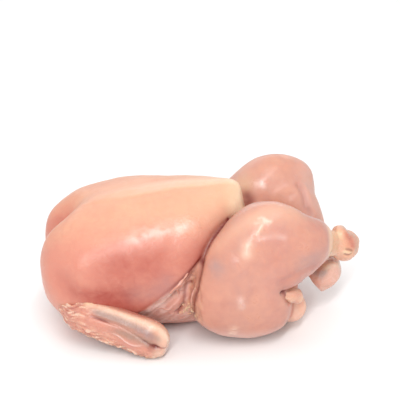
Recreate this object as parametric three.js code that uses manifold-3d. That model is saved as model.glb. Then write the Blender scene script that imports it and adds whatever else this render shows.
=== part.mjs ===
// A skinless whole chicken lying on its back, breast up, legs folded and crossed at the hocks.
// Millimetres, +Z up. The neck end points to -X and the legs to +X, so the bird's right side is at -Y.
// The origin is the middle of the footprint, on the surface that the bird lies on.
// Meat, bone ends and tail grow together, so the whole bird is one solid: closed bodies of muscle are
// shaped one by one, joined, and cut flat where the weight presses them on the table.
import * as THREE from "three";
import { mergeVertices } from "three/addons/utils/BufferGeometryUtils.js";
import Module from "manifold-3d";

const { clamp, degToRad, smoothstep } = THREE.MathUtils;

// Look
const FLESH = { color: 0xeeb199, roughness: 0.42, metalness: 0 };

// Trunk, from the neck end to the root of the tail. Each row is a station along the body:
// x, height of the widest level, half width, rise to the keel, drop to the back, squareness above, and below
const TRUNK = [
  [-122.5, 56, 0, 0, 0, 2.2, 2.1],
  [-120, 55, 33, 19, 27, 2.2, 2.1],
  [-115, 54, 44, 29, 37, 2.2, 2.15],
  [-103, 54, 54, 38.5, 47, 2.35, 2.2],
  [-88, 53, 60, 47, 53, 2.4, 2.25],
  [-55, 53, 61, 55, 54.5, 2.3, 2.2],
  [-20, 53, 60, 57, 54.5, 2.05, 2.15],
  [8, 53, 55, 57.5, 54.5, 1.8, 2.2],
  [24, 51, 50, 58.5, 52.5, 1.5, 2.3],
  [29.5, 50, 47, 57.5, 51.7, 1.35, 2.3],
  [32.5, 49.5, 46, 49, 51, 1.3, 2.3],
  [35.5, 48, 45, 37, 49.5, 1.5, 2.3],
  [46, 42, 43, 32, 44, 1.9, 2.3],
  [58, 37, 42, 27, 38, 2, 2.3],
  [71, 27, 32, 15, 26, 2, 2.2],
  [78, 20, 0, 0, 0, 2, 2.2],
];
// Cleft between the breast lobes: how far it pushes in, its width, its reach from the neck end along the
// keel, the height over which it fades below the keel, and the shares of the push that go back and down
const CLEFT = { depth: 25, width: 17, reach: 50, fade: 30, fadePower: 1.5, back: 0.55, down: 0.5 };

// Edge of the breast muscle, a slanting line on the side from start to end (x, z), behind which the flank
// is set in by the recess over a blend. Between the heights foot and top it goes in deeper, from enter to
// full behind the edge, and from far to end it comes out again, all but the share that it keeps.
const FLANK = {
  start: [-52, 28],
  end: [2, 78],
  recess: 5.5,
  blend: 20,
  deeper: { by: 5.5, enter: 1, full: 12, foot: 22, top: 48, far: 30, end: 60, keeps: 0.4 },
};

// Leg: thigh and drumstick folded side by side make one egg-shaped mass. Seen from the bird's side its
// outline has these radii by direction, in degrees, 0 towards the tail and 90 up.
const LEG = {
  centre: [33, -47, 59],
  lean: 5,
  bulge: { outer: 27, inner: 24 },
  squareness: 2.2,
  outline: [
    [0, 45.5], [25, 54], [45, 59.3], [62, 56.2], [76, 53.3], [90, 49.4], [108, 41.4], [125, 37],
    [141, 36.2], [160, 37.3], [188, 41.6], [201, 46], [214, 51.5], [227, 55.5], [245, 55.6], [260, 54.6],
    [275, 54], [288, 53.4], [298, 52.6], [306, 50.5], [318, 44], [327, 37.5], [334, 33], [338, 32.5],
    [343, 36.5], [350, 40.5],
  ],
};
const FAR_LEG_SHIFT = { along: 15.5, up: 2.2 };

// Limbs: path of the middle, radius by share of the length, and width for each unit of height. The width of
// an upright limb is measured along X.
const LIMBS = {
  nearDrumstick: {
    path: [[45, -44, 75], [65.5, -45, 76], [79.6, -37.2, 73], [89.8, -28, 67.6], [101, -17, 62.5]],
    radii: [
      [0, 18], [0.25, 25], [0.42, 23.7], [0.5, 21.5], [0.6, 17.8], [0.7, 13.8], [0.77, 11.6], [0.85, 10.5],
      [1, 10.2],
    ],
    broad: 0.85,
  },
  farDrumstick: {
    path: [[53, 44, 84], [73, 35, 74], [89, 18, 57], [98, 0, 38]],
    radii: [[0, 25], [0.35, 25], [0.6, 18], [0.8, 11.5], [1, 11]],
    broad: 0.85,
  },
  nearHockNeck: {
    path: [[88, -24, 65], [111, -13.5, 61]],
    radii: [[0, 9.5], [0.5, 9.5], [1, 11.5]],
    broad: 0.95,
  },
  nearHockTop: { path: [[102.5, -15, 65], [113, -13, 68.5]], radii: [[0, 9], [1, 9]], broad: 1.1 },
  nearHockEnd: { path: [[102, -16, 63], [118.5, -11, 55]], radii: [[0, 12], [1, 12.5]], broad: 1 },
  farHock: {
    path: [[99.5, 1, 42], [99.5, -4, 28], [97, -6, 14]],
    radii: [[0, 13], [0.4, 13], [1, 8]],
    broad: 0.85,
    upright: true,
  },
  tail: {
    path: [[50, -2, 16], [62, -24, 16], [71, -47, 24.5]],
    radii: [[0, 16], [0.6, 13.5], [1, 14]],
    broad: 1,
  },
  tailFat: {
    path: [[55, -62.5, 45.5], [62.5, -57.5, 41.5], [70, -51.5, 37]],
    radii: [[0, 5], [0.5, 6.2], [1, 6.5]],
    broad: 1,
  },
};
const WING = {
  path: [[-107, -44, 33], [-90, -51, 28], [-66, -58, 21], [-45, -65, 15.5], [-28.5, -71.5, 11]],
  radii: [[0, 9], [0.2, 15], [0.6, 15.5], [0.85, 17.5], [1, 16]],
  broad: 0.72,
};

// Block of table that the underside is pressed flat against
const TABLE = { reach: 400, depth: 60 };

// Faces round each kind of body and from pole to pole, and the distance at which its corners are one
const FACES = { trunk: [52, 46], leg: [30, 20], limb: [14, 12] };
const WELD = 1e-3;

// Smooth curve through [place, value] pairs that never overshoots them (monotone cubic)
function through(pairs) {
  const x = pairs.map((pair) => pair[0]);
  const y = pairs.map((pair) => pair[1]);
  const slope = x.slice(1).map((right, i) => (y[i + 1] - y[i]) / (right - x[i]));
  const tangent = y.map((_, i) => {
    const [before, after] = [slope[i - 1] ?? slope[i], slope[i] ?? slope[i - 1]];
    return before * after <= 0 ? 0 : (2 * before * after) / (before + after);
  });
  return (at) => {
    const k = clamp(x.findLastIndex((place) => place <= at), 0, x.length - 2);
    const h = x[k + 1] - x[k];
    const t = clamp((at - x[k]) / h, 0, 1);
    const blend = t * t * (3 - 2 * t);
    const bend = h * t * (1 - t) * ((1 - t) * tangent[k] - t * tangent[k + 1]);
    return y[k] + blend * (y[k + 1] - y[k]) + bend;
  };
}

// Signed power, which squares off or sharpens a sine, and a bell curve
const power = (value, exponent) => Math.sign(value) * Math.abs(value) ** exponent;
const bell = (distance, width) => Math.exp(-((distance / width) ** 2));

// Closed body from a function of two parameters: u runs once round it, v from one pole to the other
function body(surface, [around, along]) {
  const geometry = new THREE.SphereGeometry(1, around, along);
  const position = geometry.getAttribute("position");
  const uv = geometry.getAttribute("uv");
  for (let i = 0; i < position.count; i++) {
    position.setXYZ(i, ...surface(uv.getX(i) % 1, 1 - uv.getY(i)));
  }
  return geometry;
}

// Trunk: superellipse sections carried along X, with a cleft between the two breast lobes that opens
// towards the neck, and flanks that step in behind the edge of the breast muscle
function trunk() {
  const [first, last] = [TRUNK[0][0], TRUNK[TRUNK.length - 1][0]];
  const along = TRUNK.map(([x]) => Math.acos(1 - (2 * (x - first)) / (last - first)));
  const columns = [1, 2, 3, 4, 5, 6].map((c) => through(TRUNK.map((row, i) => [along[i], row[c]])));
  const [edgeX, edgeZ] = [FLANK.end[0] - FLANK.start[0], FLANK.end[1] - FLANK.start[1]];
  const edge = Math.hypot(edgeX, edgeZ);
  return body((u, v) => {
    const t = v * Math.PI;
    const [level, half, rise, drop, squareTop, squareBack] = columns.map((column) => column(t));
    const [side, up] = [Math.cos(u * 2 * Math.PI), Math.sin(u * 2 * Math.PI)];
    const exponent = 2 / (up > 0 ? squareTop : squareBack);
    let x = first + ((last - first) * (1 - Math.cos(t))) / 2;
    let y = half * power(side, exponent);
    let z = level + (up > 0 ? rise : drop) * power(up, exponent);
    const open = smoothstep(-x, -first - CLEFT.reach, -first) ** CLEFT.fadePower;
    const above = smoothstep(z, level - CLEFT.fade, level + CLEFT.fade);
    const notch = CLEFT.depth * bell(y, CLEFT.width) * open * above;
    x += notch * CLEFT.back;
    z -= notch * CLEFT.down;
    const behind = ((x - FLANK.start[0]) * edgeZ - (z - FLANK.start[1]) * edgeX) / edge;
    const deeper = FLANK.deeper;
    const share = smoothstep(behind, deeper.enter, deeper.full) * smoothstep(z, deeper.foot, deeper.top);
    const back = 1 - (1 - deeper.keeps) * smoothstep(behind, deeper.far, deeper.end);
    const recess = FLANK.recess * smoothstep(behind, 0, FLANK.blend) + deeper.by * share * back;
    y *= 1 - (recess * Math.sqrt(Math.abs(side))) / Math.max(half, FLANK.recess);
    return [x, y, z];
  }, FACES.trunk);
}

// Leg: the egg-shaped outline, domed on its outer and inner sides
function leg() {
  const [left, right] = [LEG.outline[LEG.outline.length - 1], LEG.outline[0]];
  const radius = through([[left[0] - 360, left[1]], ...LEG.outline, [right[0] + 360, right[1]]]);
  const lean = degToRad(LEG.lean);
  return body((u, v) => {
    const share = power(Math.cos(v * Math.PI), 2 / LEG.squareness);
    const depth = share * (share > 0 ? LEG.bulge.outer : LEG.bulge.inner);
    const r = radius(u * 360) * power(Math.sin(v * Math.PI), 2 / LEG.squareness);
    const [x, z] = [r * Math.cos(u * 2 * Math.PI), r * Math.sin(u * 2 * Math.PI)];
    return [
      LEG.centre[0] + x,
      LEG.centre[1] - depth * Math.cos(lean) + z * Math.sin(lean),
      LEG.centre[2] + depth * Math.sin(lean) + z * Math.cos(lean),
    ];
  }, FACES.leg);
}

// Limb: oval sections carried along a smooth path, rounded over at both ends
function limb({ path, radii, broad, upright }) {
  const curve = new THREE.CatmullRomCurve3(path.map((point) => new THREE.Vector3(...point)));
  const radius = through(radii);
  const reference = upright ? new THREE.Vector3(0, 1, 0) : new THREE.Vector3(0, 0, 1);
  return body((u, v) => {
    const s = clamp((1 - Math.cos(v * Math.PI)) / 2, 0, 1);
    const tangent = curve.getTangent(s);
    const side = reference.clone().cross(tangent).normalize();
    const top = tangent.clone().cross(side);
    const r = radius(s) * Math.sqrt(Math.max(0, Math.sin(v * Math.PI)));
    return curve.getPoint(s)
      .addScaledVector(side, r * broad * Math.cos(u * 2 * Math.PI))
      .addScaledVector(top, r * Math.sin(u * 2 * Math.PI))
      .toArray();
  }, FACES.limb);
}

// The same body on the bird's other side, moved along it and up
function otherSide(geometry, { along, up } = { along: 0, up: 0 }) {
  return geometry.clone().scale(1, -1, 1).translate(along, 0, up);
}

const wasm = await Module();
wasm.setup();

// A geometry as a solid that can be joined and cut, its faces turned out if they point in
function solid(geometry) {
  geometry.deleteAttribute("normal");
  geometry.deleteAttribute("uv");
  const merged = mergeVertices(geometry, WELD);
  const vertProperties = merged.getAttribute("position").array;
  const triVerts = new Uint32Array(merged.index.array);
  const made = new wasm.Manifold(new wasm.Mesh({ numProp: 3, vertProperties, triVerts }));
  if (made.volume() > 0) {
    return made;
  }
  triVerts.reverse();
  return new wasm.Manifold(new wasm.Mesh({ numProp: 3, vertProperties, triVerts }));
}

const [rightLeg, rightWing] = [leg(), limb(WING)];
const muscles = [
  trunk(),
  rightLeg,
  otherSide(rightLeg, FAR_LEG_SHIFT),
  rightWing,
  otherSide(rightWing),
  ...Object.values(LIMBS).map(limb),
];
const table = new THREE.BoxGeometry(TABLE.reach, TABLE.reach, TABLE.depth).translate(0, 0, -TABLE.depth / 2);
const bird = muscles.map(solid).reduce((whole, muscle) => whole.add(muscle)).subtract(solid(table));

const { vertProperties, triVerts } = bird.getMesh();
const geometry = new THREE.BufferGeometry()
  .setAttribute("position", new THREE.BufferAttribute(vertProperties, 3))
  .setIndex(new THREE.BufferAttribute(triVerts, 1));
geometry.computeVertexNormals();

const chicken = new THREE.Mesh(geometry, new THREE.MeshStandardMaterial(FLESH));
chicken.name = "chicken";

const whole = new THREE.Group();
whole.add(chicken);
export default whole;
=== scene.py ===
import itertools
import math
from functools import partial
from types import SimpleNamespace

import bpy
import numpy as np
from mathutils import Matrix, Vector


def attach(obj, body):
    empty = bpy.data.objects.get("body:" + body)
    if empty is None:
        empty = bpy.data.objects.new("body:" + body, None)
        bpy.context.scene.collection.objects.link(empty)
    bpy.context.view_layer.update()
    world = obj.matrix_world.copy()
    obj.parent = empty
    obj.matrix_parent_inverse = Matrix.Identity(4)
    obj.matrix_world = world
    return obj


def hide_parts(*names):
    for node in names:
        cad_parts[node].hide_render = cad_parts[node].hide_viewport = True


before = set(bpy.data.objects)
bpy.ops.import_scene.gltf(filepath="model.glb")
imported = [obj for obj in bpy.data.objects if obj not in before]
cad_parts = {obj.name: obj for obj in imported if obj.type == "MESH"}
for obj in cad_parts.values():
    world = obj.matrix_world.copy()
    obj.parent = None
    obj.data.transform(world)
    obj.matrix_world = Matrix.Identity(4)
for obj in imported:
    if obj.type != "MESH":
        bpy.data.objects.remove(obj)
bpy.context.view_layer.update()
mm = 0.001
print("frame loaded:", sorted(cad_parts))

# Curves and patterns


def blend(x, low, high):
    # 0 below low, 1 above high, and 3t^2 - 2t^3 in between
    t = np.clip((x - low) / (high - low), 0, 1)
    return t * t * (3 - 2 * t)


def bell(distance, width):
    # exp(-(distance / width)^2)
    return np.exp(-((distance / width) ** 2))


def power(x, exponent):
    # |x|^exponent with the sign of x
    return np.sign(x) * np.abs(x) ** exponent


def through(rows, at):
    # smooth curve through rows of (place, value, value...) that never overshoots them: a cubic between
    # neighbours whose slope at each row is the harmonic mean of the slopes beside it
    rows = np.array(rows, float)
    place, value = rows[:, 0], rows[:, 1:]
    slope = np.diff(value, axis=0) / np.diff(place)[:, None]
    before, after = np.vstack([slope[:1], slope]), np.vstack([slope, slope[-1:]])
    same = before * after > 0
    tangent = np.where(same, 2 * before * after / np.where(same, before + after, 1), 0)
    at = np.asarray(at, float)
    k = np.clip(np.searchsorted(place, at, side="right") - 1, 0, len(place) - 2)
    h = (place[k + 1] - place[k])[..., None]
    t = np.clip((at - place[k])[..., None] / h, 0, 1)
    bend = h * t * (1 - t) * ((1 - t) * tangent[k] - t * tangent[k + 1])
    return value[k] + t * t * (3 - 2 * t) * (value[k + 1] - value[k]) + bend


def alongLine(line, steps=80):
    # evenly spaced shares of a smooth line through a few places, and its points there
    s = np.linspace(0, 1, steps)
    return s, through([(k / (len(line) - 1), *place) for k, place in enumerate(line)], s)


def near(points, line, width, reach=4):
    # bell of the distance to a smooth line through a few places, 1 on the line
    middle = alongLine(line)[1]
    value = np.zeros(len(points))
    margin = reach * width
    close = ((points > middle.min(0) - margin) & (points < middle.max(0) + margin)).all(1)
    gap = np.linalg.norm(points[close, None] - middle[None], axis=-1).min(1)
    value[close] = bell(gap, width)
    return value


def noise(points, size, seed=0):
    # gradient noise, about -1 to 1: at each corner of a cell a random direction is dotted with the way
    # from the corner, and the eight are blended by 6t^5 - 15t^4 + 10t^3
    mixer = np.array([[127.1, 269.5, 113.5], [311.7, 183.3, 271.9], [74.7, 246.1, 124.6]])
    q = points / size + 17.3 * seed
    cell = np.floor(q)
    inside = q - cell
    fade = inside**3 * (inside * (inside * 6 - 15) + 10)
    total = np.zeros(len(q))
    for corner in itertools.product((0, 1), repeat=3):
        turn = np.sin((cell + corner) @ mixer) * 43758.5453
        direction = (turn - np.floor(turn)) * 2 - 1
        weight = np.where(corner, fade, 1 - fade).prod(axis=1)
        total += weight * (direction * (inside - corner)).sum(axis=1)
    return total * 1.7


def ridges(points, size, seed=0):
    # sharp crests where the noise crosses zero: 1 - |noise|
    return 1 - np.abs(noise(points, size, seed))


# Surfaces


def closedSurface(surface, around, along):
    # surface(u, v) on a grid: u runs once round it in an even number of steps, v from pole to pole. A pole
    # is one point, and each quad at it takes in two steps of the ring.
    u, v = np.meshgrid(np.arange(around) / around, np.linspace(0, 1, along + 1)[1:-1])
    points = np.vstack([surface(u.ravel(), v.ravel()), surface(np.zeros(2), np.array([0.0, 1.0]))])
    ring, pair = np.arange(around), np.arange(0, around, 2)
    start = np.arange(along - 2)[:, None] * around
    after = (ring + 1) % around
    sides = [start + ring, start + after, start + around + after, start + around + ring]
    last = (along - 2) * around
    first = [np.full(len(pair), len(points) - 2), (pair + 2) % around, pair + 1, pair]
    end = [np.full(len(pair), len(points) - 1), last + pair, last + pair + 1, last + (pair + 2) % around]
    quads = np.vstack([np.stack(part, -1).reshape(-1, 4) for part in (sides, first, end)])
    return points, outward(points, quads)


def outward(points, quads):
    # turns the quads round if the volume that they enclose comes out negative
    a, b, c = (points[quads[:, k]] - points.mean(0) for k in range(3))
    return quads if (np.cross(a, b) * c).sum() > 0 else quads[:, ::-1]


def limbFrame(limb, s):
    # point of the path at share s, the direction along it and the two directions across it
    path = [(k / (len(limb["path"]) - 1), *point) for k, point in enumerate(limb["path"])]
    reach = 0.02
    ahead = through(path, np.clip(s + reach, 0, 1)) - through(path, np.clip(s - reach, 0, 1))
    ahead /= np.linalg.norm(ahead, axis=-1, keepdims=True)
    across = np.cross(limb.get("level", (0, 0, 1)), ahead)
    across /= np.linalg.norm(across, axis=-1, keepdims=True)
    return through(path, s), ahead, across, np.cross(ahead, across)


def limbSurface(limb, around=40, along=40, relief=None):
    # oval sections carried along the path: point + r (broad cos a across + sin a up), with the radius r
    # rounded over at the ends by the square root of sin(pi v), and raised by relief(s, a in degrees)
    def surface(u, v):
        s = (1 - np.cos(v * np.pi)) / 2
        point, ahead, across, up = limbFrame(limb, s)
        a = u * 2 * np.pi
        r = through(limb["radii"], s)[:, 0] + (relief(s, np.degrees(a)) if relief else 0)
        r = r * np.sqrt(np.clip(np.sin(v * np.pi), 0, 1))
        wide = r * limb.get("broad", 1)
        return point + (wide * np.cos(a))[:, None] * across + (r * np.sin(a))[:, None] * up

    return closedSurface(surface, around, along)


def limbPlace(limb, points, steps=80):
    # share of the path nearest to each point, angle round it in degrees (0 across, 90 up) and distance
    # outside the limb
    s = np.linspace(0, 1, steps)
    line, ahead, across, up = limbFrame(limb, s)
    k = ((points[:, None] - line[None]) ** 2).sum(-1).argmin(1)
    away = points - line[k]
    sideways, upwards = (away * across[k]).sum(1) / limb.get("broad", 1), (away * up[k]).sum(1)
    beyond = np.abs((away * ahead[k]).sum(1))
    distance = np.hypot(np.hypot(sideways, upwards), beyond) - through(limb["radii"], s[k])[:, 0]
    return s[k], np.degrees(np.arctan2(upwards, sideways)) % 360, distance


def tube(middle, radius, around=10):
    # round sections of the given radii carried along a row of points, closed by a pole at each end
    ahead = np.gradient(middle, axis=0)
    ahead /= np.linalg.norm(ahead, axis=1, keepdims=True)
    across = np.cross(ahead, (0.3, 1, 0.2))
    across /= np.linalg.norm(across, axis=1, keepdims=True)
    up = np.cross(ahead, across)

    def surface(u, v):
        k = np.round(v * (len(middle) - 1)).astype(int)
        a, r = u * 2 * np.pi, radius[k]
        return middle[k] + (r * np.cos(a))[:, None] * across[k] + (r * np.sin(a))[:, None] * up[k]

    return closedSurface(surface, around, len(middle) - 1)


# Meshes


def addObject(name, data):
    made = bpy.data.objects.new(name, data)
    bpy.context.scene.collection.objects.link(made)
    return made


def addMesh(name, points, quads):
    # an object of points, in millimetres, and quads
    mesh = bpy.data.meshes.new(name)
    mesh.from_pydata((points * mm).tolist(), [], quads.tolist())
    return addObject(name, mesh)


def joined(surfaces):
    # the points and quads of several surfaces as one list of each
    starts = np.cumsum([0] + [len(points) for points, quads in surfaces[:-1]])
    quads = [quads + start for start, (points, quads) in zip(starts, surfaces)]
    return np.vstack([points for points, _ in surfaces]), np.vstack(quads)


def read(items, key, width, kind):
    # a value of every item, as rows of so many numbers
    values = np.empty(len(items) * width, kind)
    items.foreach_get(key, values)
    return values.reshape(-1, width)


def fused(surfaces, voxel):
    # one skin round closed surfaces that overlap, made by a voxel remesh: its points, quads and edges
    points, quads = joined(surfaces)
    helper = addMesh("fusing", points, quads)
    remesh = helper.modifiers.new("skin", "REMESH")
    remesh.mode = "VOXEL"
    remesh.voxel_size = voxel * mm
    skin = bpy.data.meshes.new_from_object(helper.evaluated_get(bpy.context.evaluated_depsgraph_get()))
    places = read(skin.vertices, "co", 3, np.float32).astype(float) / mm
    corners = read(skin.loops, "vertex_index", 1, np.int32).reshape(-1, 4)
    ends = read(skin.edges, "vertices", 2, np.int32)
    bpy.data.meshes.remove(helper.data)  # which removes the helper as well
    bpy.data.meshes.remove(skin)
    return places, corners, ends


def smoothed(values, edges, weight, rounds):
    # each round moves a value towards the mean of its neighbours by its weight
    count = len(values)
    ends = np.concatenate([edges[:, 0], edges[:, 1]])
    others = np.concatenate([edges[:, 1], edges[:, 0]])
    degree = np.maximum(np.bincount(ends, minlength=count), 1)[:, None]
    values = values.copy()
    weight = np.broadcast_to(weight, count)[:, None]
    for _ in range(rounds):
        mean = np.stack([np.bincount(ends, column[others], count) for column in values.T], -1) / degree
        values += weight * (mean - values)
    return values


def normals(points, quads):
    # cross product of each quad's diagonals, added up at its corners
    a, b, c, d = (points[quads[:, k]] for k in range(4))
    face = np.cross(c - a, d - b)
    total = np.zeros_like(points)
    for k, axis in itertools.product(range(4), range(3)):
        total[:, axis] += np.bincount(quads[:, k], face[:, axis], len(points))
    return total / np.maximum(np.linalg.norm(total, axis=1, keepdims=True), 1e-9)


def edgesOf(quads):
    # each side of the quads once
    sides = np.vstack([quads[:, [k, (k + 1) % 4]] for k in range(4)])
    return np.unique(np.sort(sides, axis=1), axis=0)


def hollows(points, quads, edges, rounds):
    # how far a point lies below the smoothed surface, in millimetres
    return ((smoothed(points, edges, 0.6, rounds) - points) * normals(points, quads)).sum(1)


def makePiece(name, points, quads, marks):
    # marks are named numbers for each point, which the material reads as attributes
    piece = addMesh(name, points, quads)
    mesh = piece.data
    mesh.polygons.foreach_set("use_smooth", [True] * len(mesh.polygons))
    for key in ("pink", "red", "tan", "silver", "fat", "membrane", "blood", "wet", "torn"):
        values = np.clip(np.broadcast_to(marks.get(key, 0), len(points)), 0, 1).astype(np.float32)
        mesh.attributes.new(key, "FLOAT", "POINT").data.foreach_set("value", values)
    mesh.materials.append(fleshLook)
    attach(piece, "root")
    print(name, len(points), "points,", 2 * len(quads), "triangles")
    return piece


# Shader expressions


class Value:
    # a socket that can be added, multiplied and so on: each operation adds a Math node
    def __init__(self, shader, socket):
        self.shader, self.socket = shader, socket

    def math(self, operation, *others):
        return self.shader.node("ShaderNodeMath", {"operation": operation}, [self, *others])

    def __add__(self, other):
        return self.math("ADD", other)

    def __sub__(self, other):
        return self.math("SUBTRACT", other)

    def __rsub__(self, other):
        return self.shader.node("ShaderNodeMath", {"operation": "SUBTRACT"}, [other, self])

    def __mul__(self, other):
        return self.math("MULTIPLY", other)

    def limited(self, low=0.0, high=1.0):
        return self.math("MAXIMUM", low).math("MINIMUM", high)

    __radd__, __rmul__ = __add__, __mul__


class Shader:
    def __init__(self, name):
        self.material = bpy.data.materials.new(name)
        self.material.use_nodes = True
        self.tree = self.material.node_tree
        self.principled = self.tree.nodes["Principled BSDF"]

    def node(self, kind, settings=None, inputs=(), output=0):
        made = self.tree.nodes.new(kind)
        for key, setting in (settings or {}).items():
            setattr(made, key, setting)
        named = inputs.items() if isinstance(inputs, dict) else enumerate(inputs)
        for key, given in named:
            self.put(made.inputs[key], given)
        return Value(self, made.outputs[output])

    def put(self, socket, given):
        if isinstance(given, Value):
            self.tree.links.new(given.socket, socket)
        else:
            socket.default_value = given

    def set(self, **sockets):
        for key, given in sockets.items():
            self.put(self.principled.inputs[key.replace("_", " ")], given)

    def mark(self, name):
        return self.node("ShaderNodeAttribute", {"attribute_name": name}, output=2)

    def place(self, scale=(1, 1, 1), turn=(0, 0, 0)):
        # Object coordinates in metres, scaled and turned
        here = self.node("ShaderNodeTexCoord", output=3)
        return self.node("ShaderNodeMapping", inputs={"Vector": here, "Scale": scale, "Rotation": turn})

    def noise(self, size, detail=2.0, roughness=0.5, distortion=0.0, where=None):
        # size is the width of a patch in millimetres
        settings = {"Vector": where or self.place(), "Scale": 1 / (size * mm), "Detail": detail}
        settings.update({"Roughness": roughness, "Distortion": distortion})
        return self.node("ShaderNodeTexNoise", inputs=settings)

    def mix(self, factor, first, second):
        settings = {"data_type": "RGBA", "clamp_factor": True}
        return self.node("ShaderNodeMix", settings, {0: factor, 6: first, 7: second}, output=2)

    def bump(self, height, distance, normal=None):
        # distance is the height of the relief in millimetres
        inputs = {"Height": height, "Distance": distance * mm}
        if normal:
            inputs["Normal"] = normal
        return self.node("ShaderNodeBump", inputs=inputs)


def colour(red, green, blue):
    # screen colour 0-255 to the linear colour that a shader takes
    parts = [c / 255 for c in (red, green, blue)]
    return (*[p / 12.92 if p <= 0.04045 else ((p + 0.055) / 1.055) ** 2.4 for p in parts], 1.0)


# Camera, light and floor

view = {
    "azimuth": -4, "elevation": 27, "lens": 85, "film": 36, "pixels": 400,
    "mmPerPixel": 0.78,
    "centre": (0, 0, 55.2),
    "belowMiddle": 46,  # pixels from the picture's middle down to the centre
}


def addCamera():
    focal = view["lens"] / view["film"] * view["pixels"]
    azimuth, elevation = math.radians(view["azimuth"]), math.radians(view["elevation"])

    def away(rise):
        # direction from the bird to a camera at that elevation
        flat = math.cos(rise)
        return Vector((math.sin(azimuth) * flat, -math.cos(azimuth) * flat, math.sin(rise)))

    camera = addObject("camera", bpy.data.cameras.new("camera"))
    camera.data.lens, camera.data.sensor_width = view["lens"], view["film"]
    camera.data.clip_start, camera.data.clip_end = 0.01, 20
    camera.location = (Vector(view["centre"]) + away(elevation) * focal * view["mmPerPixel"]) * mm
    tilt = elevation - math.atan(view["belowMiddle"] / focal)
    camera.rotation_euler = (-away(tilt)).to_track_quat("-Z", "Y").to_euler()
    bpy.context.scene.camera = camera


# Each lamp is a soft box between two ends, in metres, with its width, its power in watts and its target.
# The strip leans from low on the left to high on the right, which slants the gleam on the breast.
lamps = {
    "strip": {"ends": [(-0.45, -1.03, 0.37), (0.23, -0.47, 1.08)], "width": 0.08, "power": 7.8},
    "ceiling": {"ends": [(-1.0, 0.2, 1.7), (1.0, 0.2, 1.7)], "width": 1.6, "power": 4.0},
    "behind": {"ends": [(-0.9, 1.3, 0.75), (0.8, 1.3, 0.75)], "width": 0.45, "power": 4.0},
}
room = {"light": 0.78, "floor": 0.9, "floorSize": 6000, "target": (0, 0, 0.06)}


def addLight():
    for name, lamp in lamps.items():
        start, end = (Vector(place) for place in lamp["ends"])
        data = bpy.data.lights.new(name, "AREA")
        data.shape, data.size, data.size_y = "RECTANGLE", (end - start).length, lamp["width"]
        data.energy = lamp["power"]
        middle = (start + end) / 2
        back = (middle - Vector(room["target"])).normalized()
        long = (end - start).normalized()
        short = back.cross(long).normalized()
        turn = Matrix((long, short, long.cross(short))).transposed()
        light = addObject(name, data)
        light.matrix_world = Matrix.Translation(middle) @ turn.to_4x4()
    world = bpy.data.worlds.new("room")
    world.use_nodes = True
    world.node_tree.nodes["Background"].inputs["Color"].default_value = (1, 1, 1, 1)
    world.node_tree.nodes["Background"].inputs["Strength"].default_value = room["light"]
    bpy.context.scene.world = world
    bpy.context.scene.view_settings.view_transform = "Standard"


def addFloor():
    corners = np.array([(-1, -1, 0), (1, -1, 0), (1, 1, 0), (-1, 1, 0)]) * room["floorSize"] / 2
    floor = addMesh("floor", corners, np.array([(0, 1, 2, 3)]))
    shader = Shader("paleFloor")
    grey = room["floor"]
    shader.set(Base_Color=(grey, grey, grey, 1), Roughness=0.6, Specular_IOR_Level=0.2)
    floor.data.materials.append(shader.material)


addCamera()
addLight()
addFloor()
print("camera, light and floor are in place")

# Flesh

flesh = {
    "breast": colour(222, 166, 136),
    "pink": colour(205, 136, 117),
    "red": colour(166, 78, 66),
    "tan": colour(156, 118, 94),
    "silver": colour(160, 136, 134),
    "fat": colour(232, 202, 164),
    "membrane": colour(230, 198, 187),
    # dark red: real blood at the wing's marrow, and painted shade in creases, hollows and gaps
    "blood": colour(112, 30, 24),
}


def fleshMaterial():
    # breast colour made pinker by its mark, then covered in turn by red meat, tan, silver skin, fat, thin
    # skin and dark red, each where its mark is high: mark * (1 + a * noise), with finer noise on torn places.
    # Red and dark red also carry painted shade, and fat and thin skin painted highlights, where the marks put
    # them
    s = Shader("flesh")
    cloud = s.noise(24, 3, 0.55)
    mottle = s.noise(6, 4, 0.6, 0.5)
    grain = s.noise(1.5, 3, 0.6)
    shreds = s.noise(2.6, 4, 0.65, 0.8)
    uneven = cloud * 0.62 + mottle * 0.38 - 0.5 + s.mark("torn") * (shreds - 0.5) * 0.9
    base = s.mix((s.mark("pink") + uneven * 1.1).limited(), flesh["breast"], flesh["pink"])
    patchiness = {"red": 1.6, "tan": 1.0, "silver": 2.2, "fat": 1.8, "membrane": 2.4, "blood": 0.8}
    for name, strength in patchiness.items():
        base = s.mix(s.mark(name) * (uneven * strength + 1).limited(0, 2), base, flesh[name])
    rough = (0.40 + uneven * 0.25 - s.mark("wet") * 0.16 + (grain - 0.5) * 0.1).limited(0.14, 0.7)
    fibres = s.noise(4, 3, 0.6, where=s.place((0.12, 1, 1), (0.0, 0.35, 0.25)))
    relief = s.bump(mottle, 0.4)
    relief = s.bump(fibres, 0.12, relief)
    relief = s.bump(grain, 0.07, relief)
    relief = s.bump(shreds * s.mark("torn"), 0.9, relief)
    s.set(Base_Color=base, Roughness=rough, Normal=relief, IOR=1.42)
    s.set(Subsurface_Weight=0.3, Subsurface_Scale=0.003, Subsurface_Radius=(1.0, 0.42, 0.28))
    s.set(Coat_Weight=(s.mark("wet") * 0.35 + 0.13).limited(), Coat_Roughness=0.2, Coat_IOR=1.34)
    return s.material


fleshLook = fleshMaterial()

# Muscles

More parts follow.
